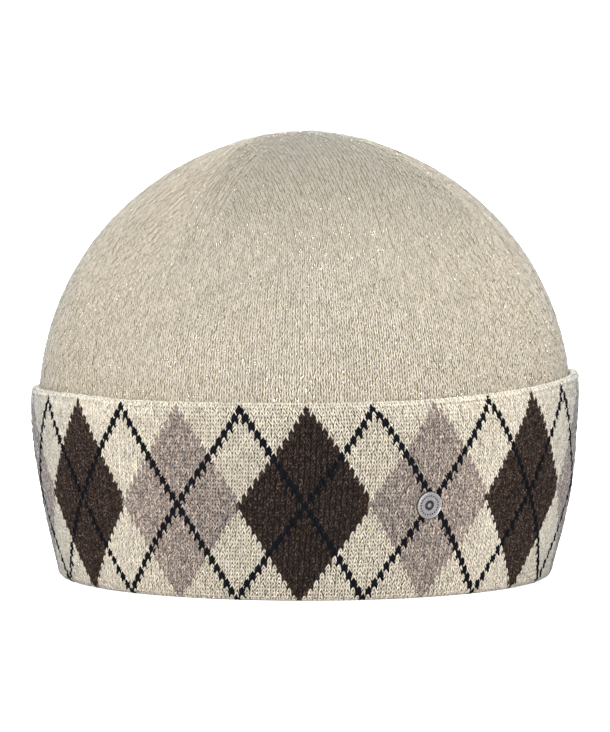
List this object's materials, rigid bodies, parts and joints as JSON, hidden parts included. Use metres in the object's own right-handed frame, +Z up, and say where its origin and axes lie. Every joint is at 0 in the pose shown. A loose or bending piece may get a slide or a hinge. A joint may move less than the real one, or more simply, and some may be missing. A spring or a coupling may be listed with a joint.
{
  "type": "knitted beanie with turned-up cuff",
  "caption": "Fine-knit beanie: a rounded hollow crown with a turned-up argyle-patterned cuff and a small round metal badge riveted to the cuff.",
  "frame": {"origin": "centre of the hat's outline on the surface that its rim rests on", "axes": "+Z up through the crown, -Y towards the wearer's face, +X to the right of someone looking at the front"},
  "size_m": [0.1764, 0.1976, 0.1431],
  "materials": {
    "knit_body": "fine stocking-stitch knit, cream with metallic flecks",
    "knit_argyle": "fine stocking-stitch knit with argyle diamonds",
    "badge_metal": "polished rim, brushed face",
    "post_metal": "plain"
  },
  "bodies": {
    "root": {"crown": "knit_body", "cuff": "knit_argyle", "badge": "badge_metal", "badge_post": "post_metal"}
  },
  "joints": []
}
